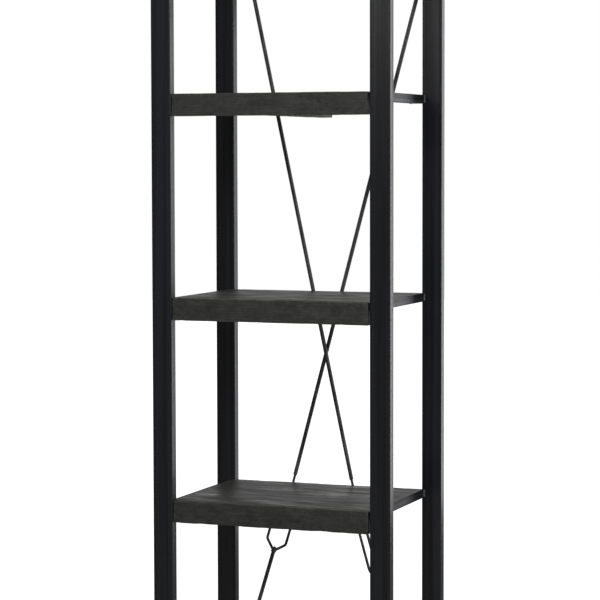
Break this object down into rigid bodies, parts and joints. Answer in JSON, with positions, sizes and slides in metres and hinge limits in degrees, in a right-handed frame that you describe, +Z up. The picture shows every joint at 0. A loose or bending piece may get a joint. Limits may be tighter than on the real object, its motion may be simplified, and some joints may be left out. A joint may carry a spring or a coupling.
{
  "type": "open bookcase",
  "caption": "Tall open bookcase: black rectangular-tube posts, dark wooden shelves held in side rails, and crossed brace rods with wire turnbuckles at the back.",
  "frame": {"origin": "on the floor, midway between the four posts", "axes": "+X to the right of someone facing the shelves, +Y to the back, +Z up"},
  "size_m": [0.48, 0.3343, 1.75],
  "materials": {
    "frame_black": "satin black powder coat",
    "brace_black": "semi-gloss black paint",
    "hardware_black": "black bolts and nuts",
    "shelf_wood": "dark stained wood, satin lacquer",
    "lip_wood": "dark stained wood, satin lacquer",
    "batten_wood": "dark stained wood",
    "dowel_wood": "plain",
    "screw_steel": "zinc plated",
    "plug_plastic": "matte black",
    "foot_plastic": "matte black"
  },
  "bodies": {
    "case": {"post_front_left": "frame_black", "post_front_right": "frame_black", "post_back_left": "frame_black", "post_back_right": "frame_black", "post_cap_front_left": "plug_plastic", "post_cap_front_right": "plug_plastic", "post_cap_back_left": "plug_plastic", "post_cap_back_right": "plug_plastic", "foot_insert_front_left": "plug_plastic", "foot_insert_front_right": "plug_plastic", "foot_insert_back_left": "plug_plastic", "foot_insert_back_right": "plug_plastic", "side_rail_left_1": "frame_black", "side_rail_left_2": "frame_black", "side_rail_left_3": "frame_black", "side_rail_left_4": "frame_black", "side_rail_left_5": "frame_black", "side_rail_right_1": "frame_black", "side_rail_right_2": "frame_black", "side_rail_right_3": "frame_black", "side_rail_right_4": "frame_black", "side_rail_right_5": "frame_black", "rail_welds": "frame_black", "shelf_board_1": "shelf_wood", "shelf_board_2": "shelf_wood", "shelf_board_3": "shelf_wood", "shelf_board_4": "shelf_wood", "shelf_board_5": "shelf_wood", "shelf_lip_1": "lip_wood", "shelf_lip_2": "lip_wood", "shelf_lip_3": "lip_wood", "shelf_lip_4": "lip_wood", "shelf_lip_5": "lip_wood", "shelf_batten_1": "batten_wood", "shelf_batten_2": "batten_wood", "shelf_batten_3": "batten_wood", "shelf_batten_4": "batten_wood", "shelf_batten_5": "batten_wood", "shelf_screws": "screw_steel", "batten_screws": "screw_steel", "lip_dowels": "dowel_wood", "brace_lugs": "frame_black", "brace_rod_upper_front": "brace_black", "brace_rod_lower_front": "brace_black", "brace_rod_upper_back": "brace_black", "brace_rod_lower_back": "brace_black", "lug_bolts": "hardware_black", "lug_nuts": "hardware_black"},
    "turnbuckle_front": {"turnbuckle_front_loop": "brace_black", "turnbuckle_front_collars": "brace_black"},
    "turnbuckle_back": {"turnbuckle_back_loop": "brace_black", "turnbuckle_back_collars": "brace_black"},
    "foot_front_left": {"levelling_foot_front_left": "foot_plastic"},
    "foot_front_right": {"levelling_foot_front_right": "foot_plastic"},
    "foot_back_left": {"levelling_foot_back_left": "foot_plastic"},
    "foot_back_right": {"levelling_foot_back_right": "foot_plastic"}
  },
  "joints": [
    {"name": "turnbuckle_front_turn", "type": "hinge", "parent": "case", "child": "turnbuckle_front", "pos_m": [0.0679, 0.1509, 0.515], "axis": [0.274, 0, -0.9617], "continuous": true},
    {"name": "turnbuckle_back_turn", "type": "hinge", "parent": "case", "child": "turnbuckle_back", "pos_m": [-0.0852, 0.1591, 0.5574], "axis": [-0.2954, 0, -0.9554], "continuous": true},
    {"name": "levelling_foot_front_left_out", "type": "slide", "parent": "case", "child": "foot_front_left", "axis": [0, 0, -1], "range_m": [0, 0.012]},
    {"name": "levelling_foot_front_right_out", "type": "slide", "parent": "case", "child": "foot_front_right", "axis": [0, 0, -1], "range_m": [0, 0.012]},
    {"name": "levelling_foot_back_left_out", "type": "slide", "parent": "case", "child": "foot_back_left", "axis": [0, 0, -1], "range_m": [0, 0.012]},
    {"name": "levelling_foot_back_right_out", "type": "slide", "parent": "case", "child": "foot_back_right", "axis": [0, 0, -1], "range_m": [0, 0.012]}
  ]
}
